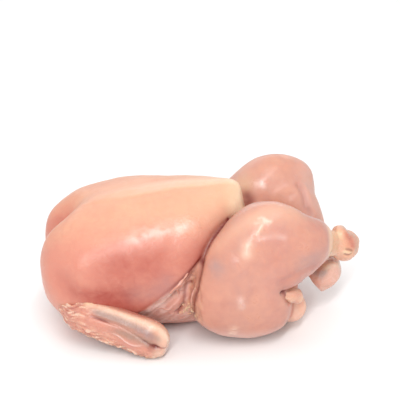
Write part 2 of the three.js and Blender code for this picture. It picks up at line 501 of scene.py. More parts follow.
trunk = {
    # station x, height of the widest level, half width, rise to the keel, drop to the back, squareness
    # above and below
    "stations": [
        (-122.5, 56, 0, 0, 0, 2.2, 2.1),
        (-120, 55, 33, 19, 27, 2.2, 2.1),
        (-115, 54, 44, 29, 37, 2.2, 2.15),
        (-103, 54, 54, 38.5, 47, 2.35, 2.2),
        (-88, 53, 60, 47, 53, 2.4, 2.25),
        (-55, 53, 61, 55, 54.5, 2.3, 2.2),
        (-20, 53, 60, 57, 54.5, 2.05, 2.15),
        (8, 53, 55, 57.5, 54.5, 1.8, 2.2),
        (24, 51, 50, 58.5, 52.5, 1.5, 2.3),
        (29.5, 50, 47, 57.5, 51.7, 1.35, 2.3),
        (32.5, 49.5, 46, 49, 51, 1.3, 2.3),
        (35.5, 48, 45, 37, 49.5, 1.5, 2.3),
        (46, 42, 43, 32, 44, 1.9, 2.3),
        (58, 37, 42, 27, 38, 2, 2.3),
        (71, 27, 32, 15, 26, 2, 2.2),
        (78, 20, 0, 0, 0, 2, 2.2),
    ],
    "cleft": {"depth": 25, "width": 13, "reach": 50, "fade": 30, "back": 0.55, "down": 0.55},
    # the step behind the edge of the breast muscle, with where it forms and eases off, and the deeper
    # hollow behind that
    "edge": {
        "start": (-52, 28), "end": (2, 78), "step": 5.0, "form": (0, 5.0), "ease": (12, 40),
        "deep": 5.5, "deepStart": (1, 12), "deepEnd": (30, 60), "deepHeights": (22, 48),
    },
    # x and y along the near edge of the pale skin on the keel
    "keelEdge": [(-95, -14), (-78, -17), (-60, -19), (-38, -15), (-19, -11), (3, -8), (24, -4), (40, 0)],
    "grid": (260, 220),
}
trunkEnds = trunk["stations"][0][0], trunk["stations"][-1][0]


def trunkColumns(x):
    # level, half width, rise, drop and both squarenesses at x
    first, last = trunkEnds
    rows = [(math.acos(1 - 2 * (row[0] - first) / (last - first)), *row[1:]) for row in trunk["stations"]]
    t = np.arccos(np.clip(1 - 2 * (x - first) / (last - first), -1, 1))
    return through(rows, t).T


def edgePlace(x, z):
    # along the slanting edge of the breast muscle, and how far behind it, in millimetres
    (x0, z0), (x1, z1) = trunk["edge"]["start"], trunk["edge"]["end"]
    length = math.hypot(x1 - x0, z1 - z0)
    along = ((x - x0) * (x1 - x0) + (z - z0) * (z1 - z0)) / length
    behind = ((x - x0) * (z1 - z0) - (z - z0) * (x1 - x0)) / length
    return along, behind


def trunkSurface(u, v):
    # superellipse sections carried along X, y = half cos^(2/n) and z = level + rise sin^(2/n), pushed in
    # at the cleft between the lobes and behind the edge of the breast muscle
    cleft, edge = trunk["cleft"], trunk["edge"]
    first, last = trunkEnds
    x = first + (last - first) * (1 - np.cos(v * np.pi)) / 2
    level, half, rise, drop, squareTop, squareBack = trunkColumns(x)
    side, up = np.cos(u * 2 * np.pi), np.sin(u * 2 * np.pi)
    exponent = 2 / np.where(up > 0, squareTop, squareBack)
    y = half * power(side, exponent)
    z = level + np.where(up > 0, rise, drop) * power(up, exponent)
    open = blend(-x, -first - cleft["reach"], -first) ** 1.5
    notch = cleft["depth"] * bell(y, cleft["width"]) * open
    notch = notch * blend(z, level - cleft["fade"], level + cleft["fade"])
    x = x + notch * cleft["back"]
    z = z - notch * cleft["down"]
    behind = edgePlace(x, z)[1]
    inward = edge["step"] * blend(behind, *edge["form"]) * (1 - 0.35 * blend(behind, *edge["ease"]))
    deep = edge["deep"] * blend(behind, *edge["deepStart"]) * blend(z, *edge["deepHeights"])
    inward += deep * (1 - 0.6 * blend(behind, *edge["deepEnd"]))
    y = y * (1 - inward * np.sqrt(np.abs(side)) / np.maximum(half, edge["step"]))
    return np.stack([x, y, z], -1)


def trunkDistance(points):
    # about how far outside the trunk each point is
    x, y, z = points.T
    level, half, rise, drop, squareTop, squareBack = trunkColumns(x)
    n = np.where(z > level, squareTop, squareBack)
    reach = np.maximum(np.where(z > level, rise, drop), 1)
    half = np.maximum(half, 1)
    share = (np.abs(y / half) ** n + np.abs((z - level) / reach) ** n) ** (1 / n)
    return (share - 1) * np.minimum(half, reach)


leg = {
    "centre": (33, -47, 59),
    "lean": 5,
    "outer": 27,
    "inner": 24,
    "squareness": 2.2,
    # radius by direction seen from the bird's side, 0 towards the tail and 90 up
    "outline": [
        (0, 45.5), (25, 54), (45, 59.3), (62, 56.2), (76, 53.3), (90, 49.4), (108, 41.4), (125, 37),
        (141, 36.2), (160, 37.3), (188, 41.6), (201, 46), (214, 51.5), (227, 55.5), (245, 55.6),
        (260, 54.6), (275, 54), (288, 53.4), (298, 52.6), (306, 50.5), (318, 44), (327, 37.5),
        (334, 33), (338, 32.5), (343, 36.5), (350, 40.5),
    ],
    "kneeHollow": [(325, 335), (350, 358)],  # directions where the hollow below the drumstick stays open
    "farShift": (15.5, 2.2),  # along X and upwards
    "grid": (120, 80),
}


def legRadius(degrees):
    # the outline's radius, as a smooth curve that closes on itself
    (firstAngle, firstRadius), (lastAngle, lastRadius) = leg["outline"][0], leg["outline"][-1]
    ring = [(lastAngle - 360, lastRadius), *leg["outline"], (firstAngle + 360, firstRadius)]
    return through(ring, degrees % 360)[..., 0]


def legSurface(side):
    # outline radius times sin^(2/n), domed outwards and inwards by cos^(2/n), leaning over about X
    def surface(u, v):
        lean = math.radians(leg["lean"])
        share = power(np.cos(v * np.pi), 2 / leg["squareness"])
        depth = share * np.where(share > 0, leg["outer"], leg["inner"])
        r = legRadius(u * 360) * power(np.sin(v * np.pi), 2 / leg["squareness"])
        x, z = r * np.cos(u * 2 * np.pi), r * np.sin(u * 2 * np.pi)
        cx, cy, cz = leg["centre"]
        y = cy - depth * math.cos(lean) + z * math.sin(lean)
        shift, lift = leg["farShift"] if side > 0 else (0, 0)
        height = cz + lift + depth * math.sin(lean) + z * math.cos(lean)
        return np.stack([cx + x + shift, -side * y, height], -1)

    return closedSurface(surface, *leg["grid"])


def legPlace(points, side):
    # direction in degrees, share of the outline's radius, depth outwards, and how far outside the leg
    lean = math.radians(leg["lean"])
    cx, cy, cz = leg["centre"]
    shift, lift = leg["farShift"] if side > 0 else (0, 0)
    x, y, z = points[:, 0] - cx - shift, -side * points[:, 1] - cy, points[:, 2] - cz - lift
    depth = -y * math.cos(lean) + z * math.sin(lean)
    height = y * math.sin(lean) + z * math.cos(lean)
    angle = np.degrees(np.arctan2(height, x)) % 360
    share = np.hypot(x, height) / legRadius(angle)
    out = np.abs(depth) / np.where(depth > 0, leg["outer"], leg["inner"])
    n = leg["squareness"]
    return angle, share, depth, ((share**n + out**n) ** (1 / n) - 1) * leg["outer"]


drumsticks = {
    -1: {
        "path": [(45, -44, 75), (65.5, -45, 76), (79.6, -37.2, 73), (89.8, -28, 67.6), (101, -17, 62.5)],
        "radii": [
            (0, 18), (0.25, 25), (0.42, 23.7), (0.5, 21.5), (0.6, 17.8), (0.7, 13.8), (0.77, 11.6),
            (0.85, 10.5), (1, 10.2),
        ],
        "broad": 0.85,
    },
    1: {
        "path": [(53, 44, 84), (73, 35, 74), (89, 18, 57), (98, 0, 38)],
        "radii": [(0, 25), (0.35, 25), (0.6, 18), (0.8, 11.5), (1, 11)],
        "broad": 0.85,
    },
}
tail = {
    "path": [(50, -2, 16), (62, -24, 16), (71, -47, 24.5)],
    "radii": [(0, 16), (0.6, 13.5), (1, 14)],
}
body = {
    "legVoxel": 1.6,
    "voxel": 1.25,
    # rounds of smoothing, and how far in millimetres they reach from a joint
    "settle": 4,
    "firstRounds": 6,
    "fuse": 90,
    "fuseWidth": 12,
    "tailFuse": 40,
    "tailFuseWidth": 6,
    "restore": {"times": 4, "step": 2, "rounds": 2},
}


def outsideLeg(points, side):
    # how far outside a leg each point is, from its thigh or its drumstick, whichever is nearer
    return np.minimum(legPlace(points, side)[3], limbPlace(drumsticks[side], points)[2])


def wholeLeg(side):
    # thigh and drumstick grown together: the smoothing is strong where a point is close to both
    points, quads, edges = fused([legSurface(side), limbSurface(drumsticks[side])], body["legVoxel"])
    outside = np.maximum(legPlace(points, side)[3], limbPlace(drumsticks[side], points)[2]).clip(0)
    angle = legPlace(points, side)[0]
    opening, closing = leg["kneeHollow"]
    grown = bell(outside, body["fuseWidth"]) * (1 - blend(angle, *opening) * (1 - blend(angle, *closing)))
    points = smoothed(points, edges, 0.15 + 0.45 * grown, body["firstRounds"])
    points = smoothed(points, edges, 0.6 * grown, body["fuse"])
    restore = body["restore"]
    for _ in range(restore["times"]):  # what the smoothing took off them is put back where they don't meet
        inside = (-outsideLeg(points, side)).clip(0, restore["step"])
        points = points + normals(points, quads) * ((1 - grown) * inside)[:, None]
        points = smoothed(points, edges, 0.4, restore["rounds"])
    return points, quads


def buildBody():
    # trunk, legs and tail in one skin, smoothed most round the tail by a bell of the distance to it
    muscles = [closedSurface(trunkSurface, *trunk["grid"]), wholeLeg(-1), wholeLeg(1), limbSurface(tail)]
    points, quads, edges = fused(muscles, body["voxel"])
    byTail = bell(limbPlace(tail, points)[2].clip(0), body["tailFuseWidth"])
    points = smoothed(points, edges, 0.5 * byTail, body["tailFuse"])
    return smoothed(points, edges, 0.5, body["settle"]), quads, edges


bodyPoints, bodyQuads, bodyEdges = buildBody()
print("body fused:", len(bodyPoints), "points")

outerSide = 30  # where a line that is seen from the side starts to count, out from the middle plane


def both(points, line, width):
    # nearness to a line on the near side, or to its mirror image on the far side
    return np.maximum(near(points, line, width), near(points * (1, -1, 1), line, width))


def seen(points, line, width):
    # nearness to a line seen from either side, so that it holds wherever the skin is
    flat = (1, 0, 1)
    return near(points * flat, np.array(line) * flat, width) * (np.abs(points[:, 1]) > outerSide)


def seenNear(points, line, width):
    return seen(points, line, width) * (points[:, 1] < 0)


def spot(line, how=near, **amounts):
    return {"line": line, "how": how, **amounts}


# Lines on the near side, in millimetres, how nearness to them is taken, and the amount and the width of
# what they add to the relief (rise, in millimetres) and to the marks
spots = {
    # a real recess; its red is painted shade under the overhang of the breast muscle, above the wing
    "recess": spot(
        [(-104, -53, 58), (-98, -57, 48), (-86, -60, 43), (-72, -60, 43), (-56, -60, 42)],
        both, rise=(-2.5, 11), red=(0.3, 10),
    ),
    "slit": spot([(-14, -52, 35), (-17, -50, 30), (-21, -49, 25)], rise=(-2.4, 1.7)),
    # painted highlights on the near leg, with a little raised relief under them
    "gleamTop": spot([(34, -61, 103), (39, -58, 105), (45, -60, 103)], gleam=(1, 1.8)),
    "gleamMiddle": spot([(39, -62, 101), (36, -65, 96)], gleam=(1, 1.6)),
    "gleamLow": spot([(28, -67, 89), (28, -69, 83)], gleam=(1, 4)),
    "gleamBottom": spot([(20, -70, 24), (19, -66, 16)], gleam=(0.7, 3)),
    # a pale line that is partly fascia and partly painted highlight
    "gleamLine": spot(
        [(36, -66, 94), (46, -66, 95), (55, -65, 93)],
        rise=(-0.5, 2), membrane=(0.3, 2.2),
    ),
    # painted highlight in pale thin skin along the breast's streak, with wet for its real gloss
    "streak": spot(
        [(-48, -50, 89), (-30, -46, 92), (-10, -42, 94)],
        membrane=(0.3, 5), wet=(1, 12),
    ),
    "scar": spot(
        [(24, -74, 49), (25, -74, 43)],
        both, rise=(1.3, 3.4), membrane=(0.45, 2.6), torn=(1, 3),
    ),
    # painted shade in the crease at the ankle
    "ankleCrease": spot(
        [(93.5, -36, 70), (92.8, -37, 66), (91.8, -36, 62.5)],
        seenNear, blood=(0.5, 1.1),
    ),
    "hem": spot(
        [(70, -54, 51), (79, -46, 57), (86, -38, 58.5), (90, -33, 58.5)],
        rise=(1, 1.8), membrane=(0.35, 2.2),
    ),
    "beige": spot(
        [(0, -54, 88), (14, -58, 97), (28, -58, 104), (46, -54, 108), (62, -48, 102)],
        share=(1, 9),
    ),
    "rosy": spot([(46, -72, 84), (60, -70, 75)], red=(0.12, 9)),
    "lilac": spot([(69, -65, 72), (77, -59, 74), (83, -52, 75)], silver=(0.3, 6)),
    "dusky": spot([(5, -66, 73), (9, -68, 72)], silver=(0.3, 5)),
    "greyish": spot([(7, -63, 70), (8, -66, 66)], silver=(0.25, 5)),
    # painted shadow under the drumstick's fold; the fold's groove is real relief, its red painted shade
    "underFold": spot([(55, -68, 56), (64, -62, 54), (71, -56, 54)], both, red=(0.3, 4)),
    "fold": spot(
        [(53, -72, 62), (60, -70, 63), (68, -66, 65), (76, -60, 66), (84, -51, 64)],
        both, rise=(-0.8, 2.2), red=(0.3, 4),
    ),
    # lip and notch: real grooves, with painted shade in the cavity below the leg's lip
    "lip": spot(
        [(55, -68, 50), (62, -63, 48.5), (70, -55, 47)],
        seenNear, rise=(-1.8, 1.7), blood=(0.6, 1),
    ),
    "notch": spot(
        [(55, -68, 50), (58, -66, 45), (61.5, -62, 39)],
        seenNear, rise=(-1.6, 1.8), blood=(0.7, 1.3),
    ),
    "foldPale": spot(
        [(-13, -59, 62), (-20, -59, 54), (-26, -58, 46), (-33, -56, 37), (-42, -56, 31)],
        seen, rise=(1.8, 3.2), membrane=(0.25, 3.5),
    ),
    # shallow grooves on the flank, with painted shade in them
    "foldCrease": spot(
        [(-9, -56, 61), (-12.5, -56, 54.5), (-17, -57, 50), (-21, -57, 45.5), (-22.5, -57, 42)],
        seen, rise=(-0.9, 1.5), blood=(0.35, 1.1),
    ),
    "deepCrease": spot(
        [(-10, -55, 51), (-13.6, -55, 48.6), (-15, -53, 40), (-15.5, -52, 35), (-20, -49, 24)],
        seen, rise=(-1.1, 1.6), blood=(0.6, 1.2),
    ),
    "fatty": spot([(-14, -51, 31), (-8, -50, 27)], seen, rise=(1, 4), fat=(0.7, 4)),
    "farPale": spot([(32, 34, 92), (38, 32, 93)], both, fat=(0.45, 7)),
    # painted highlight on the far leg, with wet for its real gloss
    "farGleam": spot(
        [(46, 27.5, 95), (50, 27, 95.5), (52, 25.5, 93)],
        membrane=(0.6, 2.4), wet=(1, 6),
    ),
    # painted shade in the gap between the breast tip and the legs
    "gap": spot([(33, -7, 94), (38, 2, 92)], red=(0.25, 6), blood=(0.4, 4)),
    "gapFar": spot(
        [(39.3, 26.4, 84.9), (41.5, 24.9, 82), (40, 24.9, 79.5)],
        red=(0.7, 5), blood=(0.5, 3.5),
    ),
    # painted shade: the lower breast greyed by silver and reddened where it turns from the light
    "lowMauve": spot([(-50, -60, 47), (-38, -60, 50), (-28, -60, 56)], both, silver=(0.3, 9)),
    "lowRed": spot([(-92, -58, 49), (-78, -60, 47), (-66, -60, 45)], both, red=(0.35, 8)),
    "band": spot([(93, -40, 79), (94, -42, 71), (91, -45, 64)], both, fat=(0.5, 3)),
    # a real groove on the far leg, with painted shade in it
    "farFold": spot(
        [(80, 24, 94), (83, 18, 88), (84, 14, 81), (88, 12, 74)],
        rise=(-1.6, 2.2), red=(0.5, 3),
    ),
    "farRidge": spot([(84, 27, 92), (87, 20, 86), (88, 16, 80), (91, 13, 74)], rise=(1.2, 3)),
}

# Where one kind of skin gives way to the next, in millimetres
borders = {
    "leg": (0.6, 2.2), "tail": (0.5, 3), "flankEdge": (0, 3), "flankSide": (25, 42),
    "flankTop": (70, 84), "flankTail": (15, 30), "rimNeck": (0, 5), "rimTop": (54, 64),
    "keelEdge": (-1.2, 1.2), "keelFar": (7, 20), "keelNeck": (-98, -72), "keelTail": (22, 34),
    "keelTop": (82, 96), "crease": 2.2, "creaseWide": 9, "neckEnd": (55, 104), "ankle": (89, 92.5),
    "ankleSide": (8, 16), "farSide": (-5, 10), "hollowRounds": 30,
}


def past(place, border):
    # 0 on the near side of a border and 1 beyond it
    return blend(place, *borders[border])


def touch(points, mark, *names):
    # amount * nearness to its line, added up over the spots
    total = 0
    for place in (spots[name] for name in names):
        amount, width = place[mark]
        total = total + amount * place["how"](points, place["line"], width)
    return total


def bodyFields(points):
    # the height as a share of the trunk's, places along and behind the edge of the breast muscle, and how
    # far each point is on each kind of skin, 0 to 1, as a product of blends across the borders
    x, y, z = points.T
    level, half, rise, drop, _, _ = trunkColumns(x)
    trunkGap = np.abs(trunkDistance(points))
    legGap = np.minimum(outsideLeg(points, -1), outsideLeg(points, 1))
    meeting = np.maximum(trunkGap, legGap.clip(0))
    along, behind = edgePlace(x, z)
    onLeg = 1 - past(legGap, "leg")
    onTail = 1 - past(limbPlace(tail, points)[2], "tail")
    flank = past(behind, "flankEdge") * (1 - onLeg) * past(np.abs(y), "flankSide")
    flank *= (1 - past(z, "flankTop")) * (1 - past(x, "flankTail"))
    fromKeel = y - through(trunk["keelEdge"], x)[:, 0]
    keel = past(fromKeel, "keelEdge") * (1 - past(fromKeel, "keelFar"))
    keel *= past(x, "keelNeck") * (1 - past(x, "keelTail"))
    return SimpleNamespace(
        height=(z - level) / np.maximum(np.where(z > level, rise, drop), 1),
        onLeg=onLeg * (1 - onTail),
        onTail=onTail * (1 - onLeg),
        flank=flank,
        rim=onLeg * past(-x, "rimNeck") * (1 - past(z, "rimTop")),
        along=along,
        behind=behind,
        keel=keel * past(z, "keelTop") * (1 - onLeg),
        crease=bell(meeting, borders["crease"]),
        creaseWide=bell(meeting, borders["creaseWide"]) * (1 - onLeg),
        crest=ridges(np.stack([along / 5, behind, y / 2], -1), 5.0, 3),
    )


fields = bodyFields(bodyPoints)


def gleams(points):
    # nearness to the painted highlights on the near leg, pale patches where the wet skin gleams, broken up by
    # noise
    hook = np.max([touch(points, "gleam", name) for name in ("gleamTop", "gleamMiddle", "gleamBottom")], axis=0)
    hook *= (0.6 + 0.9 * noise(points, 2.6, 15)).clip(0, 1)
    low = touch(points, "gleam", "gleamLow") * (0.8 + 0.4 * noise(points, 5, 15)).clip(0, 1)
    return np.maximum(hook, low)


def bodyRelief(points, quads, f):
    # each term moves the points along their normals by so many millimetres: noise, the fields, and the
    # touches of the spots, some of them times noise
    at = partial(touch, points, "rise")
    cut = f.flank + f.rim
    fine = ridges(np.stack([f.along / 4, f.behind, points[:, 1] / 2], -1), 2.6, 4)
    rise = 0.45 * noise(points, 24, 1) + 0.22 * noise(points, 10, 2)
    rise += 0.8 * f.keel - 1.5 * f.crease
    rise += f.flank * (0.9 * f.crest + 0.5 * fine - 1 + at("foldPale"))
    rise += cut * (at("foldCrease", "deepCrease") + 0.6 * noise(points, 3.2, 16))
    rise += at("fatty") * noise(points, 2.2, 17) + at("recess", "slit", "farFold", "farRidge")
    rise += f.onLeg * (0.5 * gleams(points) + at("gleamLine"))
    rise += f.onLeg * (at("scar") * noise(points, 2.4, 9) + at("fold", "lip", "notch"))
    rise += f.onLeg * at("hem") * (0.6 + 0.6 * noise(points, 2.2, 20))
    return points + normals(points, quads) * rise[:, None]


bodyPoints = bodyRelief(bodyPoints, bodyQuads, fields)
bodyPoints[:, 2] = np.maximum(bodyPoints[:, 2], 0)


def bodyMarks(points, quads, edges, f):
    # each mark adds up the fields times an amount, blends across x, z and the height of the trunk, and the
    # touches of the spots
    at = partial(touch, points)
    x, y, z = points.T
    hollow = hollows(points, quads, edges, borders["hollowRounds"])
    onLeg, onTail, flank, height, crest = f.onLeg, f.onTail, f.flank, f.height, f.crest
    onTrunk, cut, gleam = (1 - onLeg) * (1 - onTail), flank + f.rim, gleams(points)
    neckEnd, far = past(-x, "neckEnd"), past(y, "farSide")
    ankle = onLeg * past(x, "ankle") * past(-y, "ankleSide")
    beige = np.maximum(at("share", "beige"), 0.3 * far)
    patches = noise(points, 5, 18)

    # the lower breast pinker: partly the meat's own tone, partly painted shade where it turns from the top
    # light
    pink = onTrunk * (1.05 - 0.9 * blend(height, 0.45, 0.95) - 0.1 * neckEnd + 0.1 * far * blend(-x, 20, 80))
    pink += onTrunk * 0.3 * neckEnd * blend(height, 0.4, 0.7)
    pink += onLeg * (0.78 - 0.35 * beige) - 0.3 * ankle - 0.15 * flank

    # painted shade: the lower breast darker and redder where it turns from the light, and beside the leg by
    # creaseWide
    low = 0.6 * (1 - blend(height, 0.36, 0.68)) * (1 - neckEnd) * (1 - 0.6 * blend(x, -45, -5))
    red = onTrunk * (low + 0.5 * f.creaseWide) * (1 - 0.5 * blend(x, 35, 60))
    # painted shadow of the near lobe on the far lobe, in the cleft at the neck end
    red += onTrunk * 0.5 * bell(y - 4, 9) * blend(-x, 92, 108) * blend(height, -0.2, 0.3)
    red += onLeg * (0.08 * (1 - blend(z, 15, 60)) + 0.12 * blend(noise(points, 9, 14), 0, 0.8))
    # recess, lowRed and underFold add painted shade here; rosy is the meat's own red
    red += at("red", "recess", "lowRed", "rosy", "underFold")
    # fold and farFold add painted shade in the folds
    red += onLeg * at("red", "fold", "farFold") + 0.2 * f.rim * blend(patches, -0.2, 0.4)
    # gap and gapFar: painted shade between the breast tip and the legs
    red = red * (1 - 0.85 * flank) + 0.2 * flank + at("red", "gap", "gapFar")

    # painted shade: dark red in the crease where the legs meet the trunk, beside it, in hollows of the skin,
    # between the crests of the flank and in the creases of the spots
    blood = 0.7 * f.crease + 0.25 * f.creaseWide ** 2 + 0.8 * blend(hollow, 0.8, 2.8)
    blood = blood * (1 - 0.85 * flank) + flank * 0.08 * (1 - blend(crest, 0.5, 0.8))
    blood += cut * at("blood", "foldCrease", "deepCrease") + onLeg * at("blood", "lip", "notch")
    # painted shadow under the step behind the edge of the breast muscle
    edge = bell(f.behind - 1, 1.6) * blend(f.along, 15, 50) * (1 - onLeg) * (np.abs(y) > outerSide)
    blood += 0.8 * edge * (1 - far * blend(z, 48, 60))
    blood += at("blood", "gap", "gapFar", "ankleCrease")

    pale = f.keel * blend(x, -95, -20)
    yellow = 0.25 * blend(x, -40, 25) * blend(height, 0.2, 0.9) + 0.5 * blend(x, 14, 28) * blend(z, 78, 98)
    # the gleam terms here and in membrane below are painted highlights on the near leg
    fat = 0.25 * pale + onTrunk * yellow + onLeg * (0.4 * gleam + 0.12 * beige) + 0.45 * ankle
    fat += at("fat", "band", "farPale") + 0.2 * f.rim * blend(-patches, 0, 0.5)
    fat += at("fat", "fatty") * blend(noise(points, 2.4, 17), -0.1, 0.4)

    # less silver under the painted highlights; on the trunk the silver of lowMauve is painted shade
    silver = 0.08 + 0.16 * blend(x, 0, 30) - 0.14 * beige + at("silver", "lilac", "dusky", "greyish")
    silver = onLeg * silver * (1 - 0.8 * gleam) * (1 - ankle) + onTrunk * at("silver", "lowMauve")
    tan = 0.1 * ankle + onLeg * 0.16 * (1 - blend(x, 15, 55)) * (1 - beige)

    membrane = flank * (0.2 + 0.25 * blend(crest, 0.72, 0.95) + at("membrane", "foldPale")) + 0.2 * pale
    membrane += onLeg * (0.35 * (1 - blend(z, 8, 24)) + 0.12 * beige * (1 - far) + 0.45 * gleam)
    membrane += onLeg * far * (0.2 * blend(x, 70, 90) + 0.15 * (1 - blend(x, 40, 60)))
    membrane += onLeg * at("membrane", "hem", "gleamLine") + at("membrane", "farGleam", "scar")
    membrane += onTrunk * 0.15 * blend(x, 16, 28) * blend(z, 86, 98) + 0.3 * onTail
    # painted highlight along the streak, broken up by noise
    membrane += at("membrane", "streak") * blend(noise(points, 5, 13), -0.4, 0.5)

    wet = np.maximum(np.maximum(0.5 * flank, 0.5 * onLeg * (1 - far)), at("wet", "farGleam"))
    wet = np.maximum(wet, (0.7 + 0.5 * blend(x, -35, -5)) * at("wet", "streak"))
    torn = np.maximum(0.7 * np.maximum(flank, f.rim), at("torn", "scar"))
    marks = {"pink": pink, "red": red, "tan": tan, "silver": silver, "fat": fat, "membrane": membrane}
    return {**marks, "blood": blood, "wet": wet, "torn": torn}


bodyLooks = bodyMarks(bodyPoints, bodyQuads, bodyEdges, fields)
bird = makePiece("chicken_flesh", bodyPoints, bodyQuads, bodyLooks)
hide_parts("chicken")

# Strands and fat on the flanks, laid on the skin of the body

strands = {
    # places on the near flank, and the radius in the middle
    "lines": [
        ([(-12, -58, 64), (-17, -59, 57), (-22, -59, 51), (-27, -58, 45)], 1.4),
        ([(-11.5, -57, 57), (-14.5, -56, 51), (-18, -55, 45), (-20, -54, 39)], 1.3),
        ([(-8, -56, 52), (-8.5, -54, 44), (-9, -52, 37), (-9.5, -50, 31)], 1.2),
        ([(-38, -55, 31), (-30, -53, 29), (-22, -51, 28)], 0.9),
    ],
    "lift": -0.5,
    "steps": 40,
    "average": 7,  # neighbours that each place along a strand is averaged over
    "granules": {"centre": (-12, -50, 29), "spread": (3.4, 2, 3.2), "count": 34, "size": (0.5, 1.2)},
}


def onSkin(middle, lift):
    # the nearest points of the body, raised along its normals
    k = ((middle[:, None] - bodyPoints[None]) ** 2).sum(-1).argmin(1)
    return bodyPoints[k] + bodyNormals[k] * lift


def addStrands(name, side):
    # tubes along averaged lines on the skin, with the radius times 1 + 0.35 noise, rounded off at the ends
    flip, average = np.array((1, -side, 1)), strands["average"]
    even = np.ones(average) / average
    surfaces = []
    for places, size in strands["lines"]:
        s, middle = alongLine(np.array(places) * flip, strands["steps"])
        middle = onSkin(middle, strands["lift"])
        padded = np.pad(middle, ((average // 2,) * 2, (0, 0)), "edge")
        middle = np.stack([np.convolve(column, even, "valid") for column in padded.T], -1)
        wavy = 1 + 0.35 * noise(middle, 4, 8)
        surfaces.append(tube(middle, size * wavy * np.sqrt(np.clip(np.sin(np.pi * (0.03 + 0.94 * s)), 0, 1))))
    points, quads = joined(surfaces)
    marks = {"pink": 0.9, "red": 0.12, "membrane": 0.22 + 0.3 * noise(points, 5, 12), "wet": 0.5, "torn": 0.7}
    makePiece(name, points, quads, marks)


def addGranules(name, side):
    # small balls, radius size * (1 + 0.25 noise), scattered on the skin round a centre
    g = strands["granules"]
    chance = np.random.default_rng(5)
    places = chance.normal(size=(g["count"], 3)) * g["spread"] + g["centre"]
    places = onSkin(places * (1, -side, 1), strands["lift"] / 2)
    sizes = chance.uniform(*g["size"], g["count"])
    surfaces = []
    for place, size in zip(places, sizes):
        def surface(u, v, place=place, size=size):
            a, b = u * 2 * np.pi, v * np.pi
            ball = np.stack([np.cos(a) * np.sin(b), np.sin(a) * np.sin(b), np.cos(b)], -1)
            return place + ball * size * (1 + 0.25 * noise(ball * 2 + place, 1.3, 3))[:, None]

        surfaces.append(closedSurface(surface, 12, 8))
    points, quads = joined(surfaces)
    marks = {"pink": 0.7, "fat": 0.2 + 0.5 * blend(noise(points, 3, 19), -0.5, 0.5), "wet": 0.6, "torn": 1}
    makePiece(name, points, quads, marks)


bodyNormals = normals(bodyPoints, bodyQuads)
for name, side in (("near", -1), ("far", 1)):
    addStrands("flank_strands_" + name, side)
    addGranules("flank_fat_" + name, side)

# Hocks

hocks = {
    "near": {
        "limbs": [
            {"path": [(88, -24, 65), (111, -13.5, 61)], "radii": [(0, 9.5), (0.5, 9.5), (1, 11.5)],
             "broad": 0.95},
            {"path": [(102.5, -15, 65), (113, -13, 68.5)], "radii": [(0, 9), (1, 9)], "broad": 1.1},
            {"path": [(102, -16, 63), (118.5, -11, 55)], "radii": [(0, 12), (1, 12.5)]},
        ],
        "planes": [],
        "creases": [
            [(107.5, -26.9, 61.7), (110.9, -25.3, 61.1), (114.2, -25, 59.6)],
            [(108.4, -25.7, 57.2), (111.2, -25.4, 56.5), (113.5, -25.3, 57.2)],
        ],
        "lip": [(109, -26, 59.4), (113, -26, 58.6)],
        "patch": [(110.3, -21.5, 71.5), (112.9, -21.1, 67.9), (114.5, -24, 63.5)],
        "rim": [(109, -14, 76), (116.8, -17.4, 68.4), (118.7, -21, 63.4), (117.7, -23.3, 58)],
        "silver": 0,
        "pale": 0.1,
        "fat": 0.3,
        "cream": [(102.5, -20, 72.5), (105, -21, 71)],
    },
    "far": {
        "limbs": [
            {"path": [(97, 0, 44), (97, -5, 30), (96, -7, 15)], "radii": [(0, 15), (0.5, 15), (1, 9)],
             "level": (0, 1, 0)},
        ],
        "planes": [((88, 0, 27), (-0.78, 0, -0.63)), ((102, 0, 24), (0.66, 0, -0.75))],
        "creases": [
            [(85, -13, 39), (89, -17, 42), (93, -17, 44), (97, -14.5, 45.5), (102, -12.5, 45.5),
             (107, -9.5, 43.5)],
        ],
        "lip": [(97, -15.3, 42), (102, -13.8, 42.8), (107.4, -11.2, 40.4)],
        # on the far hock the patch is partly painted shadow of the near drumstick and partly red flesh
        "patch": [(85, -13, 40), (89, -16, 41), (93, -17, 42)],
        "rim": [(88, -16, 37), (92, -18, 36), (96, -18, 38)],
        "silver": 0.2,
        "pale": 0.4,
        "fat": 0.1,
        "cream": [(97, -16, 42), (102, -14, 42), (107.4, -11.2, 40)],
    },
}


hockFinish = {"voxel": 0.8, "smoothRounds": 14, "hollowRounds": 20}


def shaved(points, place, direction):
    # points beyond a plane come back to it
    direction = np.array(direction, float) / np.linalg.norm(direction)
    beyond = ((points - place) @ direction).clip(0)
    return points - beyond[:, None] * direction


def addHock(name, hock):
    # limbs in one skin, cut by planes and smoothed, then raised by noise and the lip and sunk at creases
    points, quads, edges = fused([limbSurface(limb) for limb in hock["limbs"]], hockFinish["voxel"])
    for place, direction in hock["planes"]:
        points = shaved(points, place, direction)
    points = smoothed(points, edges, 0.5, hockFinish["smoothRounds"])
    rise = 0.5 * noise(points, 7, 5) + 0.25 * noise(points, 3, 6)
    creased = sum(near(points, line, 0.9) for line in hock["creases"])
    rise += 0.9 * near(points, hock["lip"], 2.0) - 1.1 * creased
    points += normals(points, quads) * rise[:, None]
    hollow = hollows(points, quads, edges, hockFinish["hollowRounds"])
    patch = near(points, hock["patch"], 4)
    lip, rim = near(points, hock["lip"], 2.2), near(points, hock["rim"], 2.6)
    cream = np.maximum(lip, 0.8 * near(points, hock["cream"], 3.5))
    marks = {
        "pink": 0.75,
        "red": 0.45 * patch,
        "silver": hock["silver"] + 0.7 * rim,
        "fat": hock["fat"] * (1 - patch) + 0.6 * cream,
        "membrane": hock["pale"] - patch,
        # painted shade: dark red in the hollows and creases of the hock
        "blood": blend(hollow, 0.5, 1.5) * 0.3 + 0.6 * creased,
        "wet": 0.7,
        "torn": 0.35,
    }
    makePiece(name, points, quads, marks)


for name, hock in hocks.items():
    addHock("hock_" + name, hock)

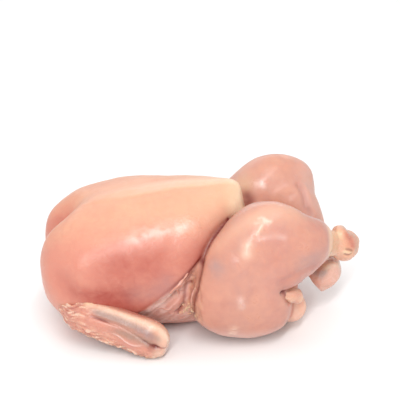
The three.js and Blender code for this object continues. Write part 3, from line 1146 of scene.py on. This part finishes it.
# Fat beside the tail

tailFat = {
    "path": [(55, -62.5, 45.5), (62.5, -57.5, 41.5), (70, -51.5, 37)],
    "radii": [(0, 2.5), (0.35, 5), (1, 7)],
    "grid": (40, 36),
}


def addTailFat():
    # a limb whose surface is lumped by noise
    def relief(s, a):
        return 1.1 * noise(np.stack([s * 14, a / 12, a * 0], -1), 4, 4)

    points, quads = limbSurface(tailFat, *tailFat["grid"], relief)
    fat = 0.26 + 0.3 * noise(points, 5, 3)
    marks = {"pink": 0.9, "red": 0.1, "fat": fat, "membrane": 0.12, "wet": 0.6, "torn": 0.8}
    makePiece("tail_fat", points, quads, marks)


addTailFat()

# Wings

wing = {
    "path": [(-107, -44, 33), (-90, -51, 28), (-66, -58, 21), (-45, -65, 15.5), (-28.5, -71.5, 11)],
    "radii": [(0, 9), (0.2, 15), (0.6, 15.5), (0.85, 17.5), (1, 16)],
    "broad": 0.72,
    "grid": (200, 190),
    "hollowRounds": 25,
}


def wingBands(s, a):
    # nearness to each band, by share of the length s and angle round it a in degrees
    shaft = blend(s, 0.28, 0.4)
    bend = 22 * blend(s, 0.5, 0.9)
    ragged = blend(a, 172 + 34 * blend(s, 0.45, 0.65), 212) + (1 - blend(s, 0.2, 0.38)) * blend(a, 60, 110)
    darkEnds = np.maximum(1 - blend(s, 0.42, 0.5), blend(s, 0.7, 0.8) * 0.7)
    marrow = np.hypot((s - 0.9) * 75, (a - 172) / 57 * 15)
    return SimpleNamespace(
        rim=bell(a - 84, 7) * shaft,
        # the tendon's pale cream colour with a painted highlight on it
        cream=bell(a - 111, 13 + 5 * blend(s, 0.5, 0.9)) * shaft,
        silver=bell(a - 132 - 0.5 * bend, 12) * shaft * (1 - blend(s, 0.9, 0.97)),
        groove=bell(a - 148 - bend, 4.5) * shaft,
        # painted shade in the groove below the silver band
        dark=bell(a - 149 - bend, 4) * shaft * darkEnds,
        meat=bell(a - 164, 14) * shaft * (1 - blend(s, 0.48, 0.62)),
        dull=bell(a - 166, 13) * blend(s, 0.42, 0.62) * (1 - blend(s, 0.84, 0.92)),
        tendon=bell(a - 183 - 7 * np.sin(s * 21), 2) * blend(s, 0.48, 0.56) * (1 - blend(s, 0.72, 0.8)),
        ragged=np.clip(ragged, 0, 1) * (1 - blend(a, 290, 330)),
        lump=bell(np.hypot((s - 0.17) * 75, (a - 108) / 4), 4.5),
        blob=bell(np.hypot((s - 0.28) * 75, (a - 112) / 4), 3.5),
        marrow=bell(marrow, 2.9),
        ring=bell(marrow - 4.4, 1.8),
        shoulder=1 - blend(s, 0.16, 0.32),
        knob=blend(s, 0.84, 0.95),
        # painted shade along the underside of the wing
        under=bell(a - 246, 14) * blend(s, 0.1, 0.3),
    )


def unrolled(s, a):
    # the skin of a limb laid flat, from places along it and round it
    return np.stack([s, a, s * 0], -1)


def wingScraps(s, a):
    # frayed bits a few millimetres long that slant along the wing, about -1 to 1
    q = unrolled(s * 40, a / 4 + s * 22 + 1.5 * np.sin(s * 31))
    return noise(q, 3.0, 7) + 0.6 * noise(q, 1.4, 8)


def wingRelief(s, a):
    # ridges, grooves and torn fibres stretched along the wing, in millimetres outwards
    b = wingBands(s, a)
    fibres = ridges(unrolled(s * 22, a / 5.5), 3.0, 6)
    rise = 1.2 * b.cream - 1.3 * b.groove + 1.0 * b.meat - 1.4 * b.dull + 0.9 * b.tendon
    rise += b.ragged * (1.8 * fibres - 1.8 + 1.2 * wingScraps(s, a)) - 2.6 * b.marrow + 1.0 * b.ring
    rise += 1.2 * b.lump + 0.9 * b.blob
    rise += 1.6 * b.shoulder * ridges(unrolled(s * 60, a / 5), 9, 10) - 1.2 * b.shoulder
    return rise + 0.3 * noise(unrolled(s * 30, a / 6), 6, 2)


def addWing(name, side):
    # a limb with the relief above, flat where it lies; each mark adds up its bands times an amount
    points, quads = limbSurface(wing, *wing["grid"], wingRelief)
    s, a, _ = limbPlace(wing, points)
    b = wingBands(s, a)
    points[:, 2] = np.maximum(points[:, 2], 0)
    if side > 0:
        points, quads = points * (1, -1, 1), quads[:, ::-1]
    edges = edgesOf(quads)
    hollow = hollows(points, quads, edges, wing["hollowRounds"])
    scraps, tip = wingScraps(s, a), blend(s, 0.55, 0.8)
    frayed, worn = b.ragged * blend(scraps, 0, 0.6), b.ragged * blend(scraps, 0.1, 0.6)
    red = 0.1 * b.meat + 0.6 * b.ring + 0.25 * b.rim + 0.15 * b.shoulder + 0.5 * b.lump
    # tan under the wing is painted shade
    tan = 0.8 * b.dull + b.silver * (1 - 0.4 * blend(s, 0.6, 0.8)) + 0.5 * b.under + 0.05
    # the dark band is painted shade; the marrow is real blood
    blood = 0.8 * b.dark + b.marrow + 0.2 * b.silver
    marks = {
        "pink": 0.85 - 0.2 * b.knob,
        "red": red + 0.35 * b.ragged * blend(-scraps, 0.1, 0.6),
        "tan": tan,
        "silver": b.silver * (0.3 + 0.4 * tip) + 0.2 * b.dull + 0.08,
        "fat": 0.55 * b.cream + 0.5 * frayed + 0.3 * b.knob + 0.5 * b.blob,
        "membrane": 0.3 * b.cream + 0.6 * b.tendon + 0.35 * worn + 0.3 * b.knob,
        # painted shade: dark red in the hollows of the wing
        "blood": blood + 0.7 * blend(hollow, 0.45, 1.3) * (1 - b.groove),
        "wet": 0.8,
        "torn": 0.35 + 0.65 * b.ragged,
    }
    makePiece(name, points, quads, marks)


for name, side in (("wing_near", -1), ("wing_far", 1)):
    addWing(name, side)
